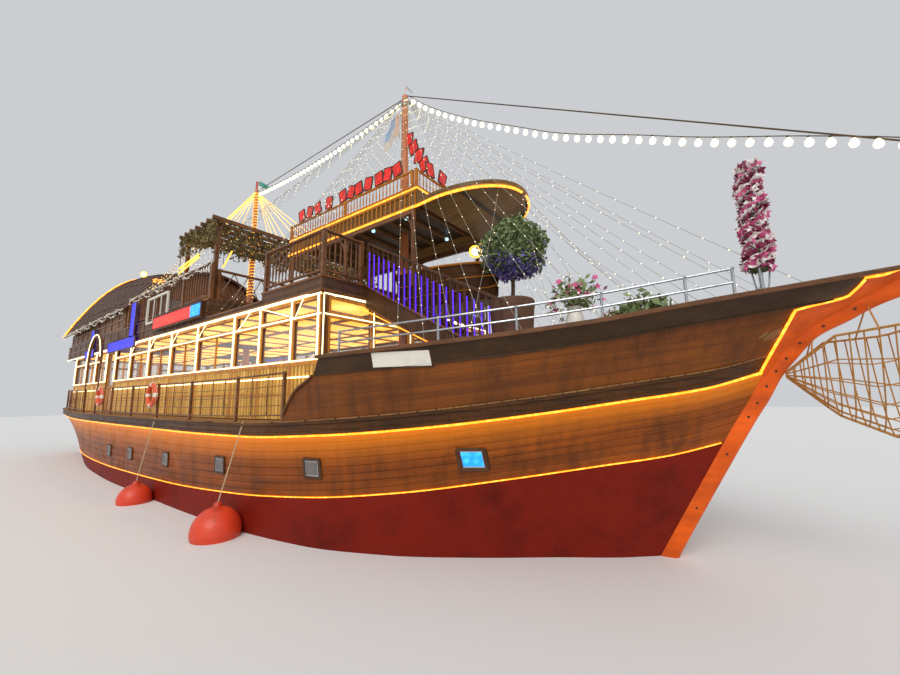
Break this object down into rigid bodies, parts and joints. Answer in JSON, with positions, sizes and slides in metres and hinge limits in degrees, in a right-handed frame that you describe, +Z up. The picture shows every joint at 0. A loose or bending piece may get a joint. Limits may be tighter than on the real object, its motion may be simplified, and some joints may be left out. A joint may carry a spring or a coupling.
{
  "type": "dhow sailing boat fitted out as a restaurant boat",
  "caption": "Wooden dhow with a long raised beak, glazed salon, railed upper decks, boat-shaped canopy, vaulted cabin aft and light-strung masts.",
  "frame": {"origin": "on the waterline, on the centreline, amidships", "axes": "+X forward to the beak, +Y to port, +Z up"},
  "size_m": [35.3403, 8.7443, 14.8209],
  "materials": {
    "hull_wood": "varnished planking",
    "deck_wood": "bare planking",
    "stem_wood": "gloss varnish",
    "bottom_paint": "dull red bottom paint on timber",
    "bronze": "cast bronze",
    "pale_wood": "painted",
    "salon_wood": "varnished",
    "dark_wood": "oiled",
    "roof_wood": "oiled",
    "spar_wood": "varnished",
    "steel": "stainless",
    "leaves": "foliage",
    "flowers": "blossom",
    "ring_orange": "gloss",
    "fender_red": "weathered",
    "board_white": "painted board, blank"
  },
  "bodies": {
    "boat": {"hull": "hull_wood", "stem_beak": "stem_wood", "keel": "bottom_paint", "bulwark_starboard": "hull_wood", "bulwark_port": "hull_wood", "walkway_rail_starboard_fore": "pale_wood", "walkway_rail_starboard_aft": "pale_wood", "walkway_rail_port_fore": "pale_wood", "walkway_rail_port_aft": "pale_wood", "salon_side_starboard_fore": "salon_wood", "salon_side_starboard_aft": "salon_wood", "salon_side_port_fore": "salon_wood", "salon_side_port_aft": "salon_wood", "salon_front_starboard": "salon_wood", "salon_front_port": "salon_wood", "salon_back_starboard": "salon_wood", "salon_back_port": "salon_wood", "upper_deck": "dark_wood", "prow_balcony": "dark_wood", "fore_rail_starboard": "dark_wood", "fore_rail_port": "dark_wood", "aft_rail_starboard": "dark_wood", "aft_rail_port": "dark_wood", "lattice_rail": "dark_wood", "canopy": "dark_wood", "canopy_posts_starboard": "dark_wood", "canopy_posts_port": "dark_wood", "terrace_rail_starboard": "dark_wood", "terrace_rail_port": "dark_wood", "terrace_rail_front": "dark_wood", "cabin_side_starboard": "dark_wood", "cabin_side_port": "dark_wood", "cabin_front": "dark_wood", "cabin_back": "dark_wood", "cabin_roof": "roof_wood", "helm_stand": "salon_wood", "main_mast": "spar_wood", "aft_mast": "spar_wood", "forestay": "steel", "triatic_stay": "steel", "planter": "dark_wood", "tree": "leaves", "flower_column": "flowers", "life_ring_fore": "ring_orange", "life_ring_aft": "ring_orange", "fender_fore": "fender_red", "fender_aft": "fender_red", "sign_board": "board_white", "raised_foredeck": "deck_wood", "fore_stair": "dark_wood", "pergola": "dark_wood"},
    "rudder": {"rudder": "bottom_paint"},
    "propeller": {"propeller": "bronze"},
    "helm_wheel": {"helm_wheel": "salon_wood"},
    "salon_door_front": {"salon_door_front": "salon_wood"},
    "salon_door_back": {"salon_door_back": "salon_wood"},
    "boarding_door_starboard": {"boarding_door_starboard": "salon_wood"},
    "boarding_door_port": {"boarding_door_port": "salon_wood"},
    "cabin_door": {"cabin_door": "dark_wood"}
  },
  "joints": [
    {"name": "rudder_turn", "type": "hinge", "parent": "boat", "child": "rudder", "pos_m": [-13.50971, 0, -2.35594], "axis": [-0.1961, 0, 0.9806], "range_deg": [-35, 35]},
    {"name": "propeller_spin", "type": "hinge", "parent": "boat", "child": "propeller", "pos_m": [-12.86, 0, -1.35], "axis": [1, 0, 0], "continuous": true},
    {"name": "helm_spin", "type": "hinge", "parent": "boat", "child": "helm_wheel", "pos_m": [-5.81, 0, 6.85], "axis": [1, 0, 0], "range_deg": [-540, 540]},
    {"name": "salon_door_front_open", "type": "hinge", "parent": "boat", "child": "salon_door_front", "pos_m": [9.18, -0.522, 3.7], "axis": [0, 0, -1], "range_deg": [0, 90]},
    {"name": "salon_door_back_open", "type": "hinge", "parent": "boat", "child": "salon_door_back", "pos_m": [-12.58, -0.522, 3.7], "axis": [0, 0, 1], "range_deg": [0, 90]},
    {"name": "boarding_door_starboard_open", "type": "hinge", "parent": "boat", "child": "boarding_door_starboard", "pos_m": [-5.408, -3.21, 3.7], "axis": [0, 0, -1], "range_deg": [0, 90]},
    {"name": "boarding_door_port_open", "type": "hinge", "parent": "boat", "child": "boarding_door_port", "pos_m": [-5.408, 3.21, 3.7], "axis": [0, 0, 1], "range_deg": [0, 90]},
    {"name": "cabin_door_open", "type": "hinge", "parent": "boat", "child": "cabin_door", "pos_m": [-4.62, -0.492, 6.8], "axis": [0, 0, -1], "range_deg": [0, 90]}
  ]
}
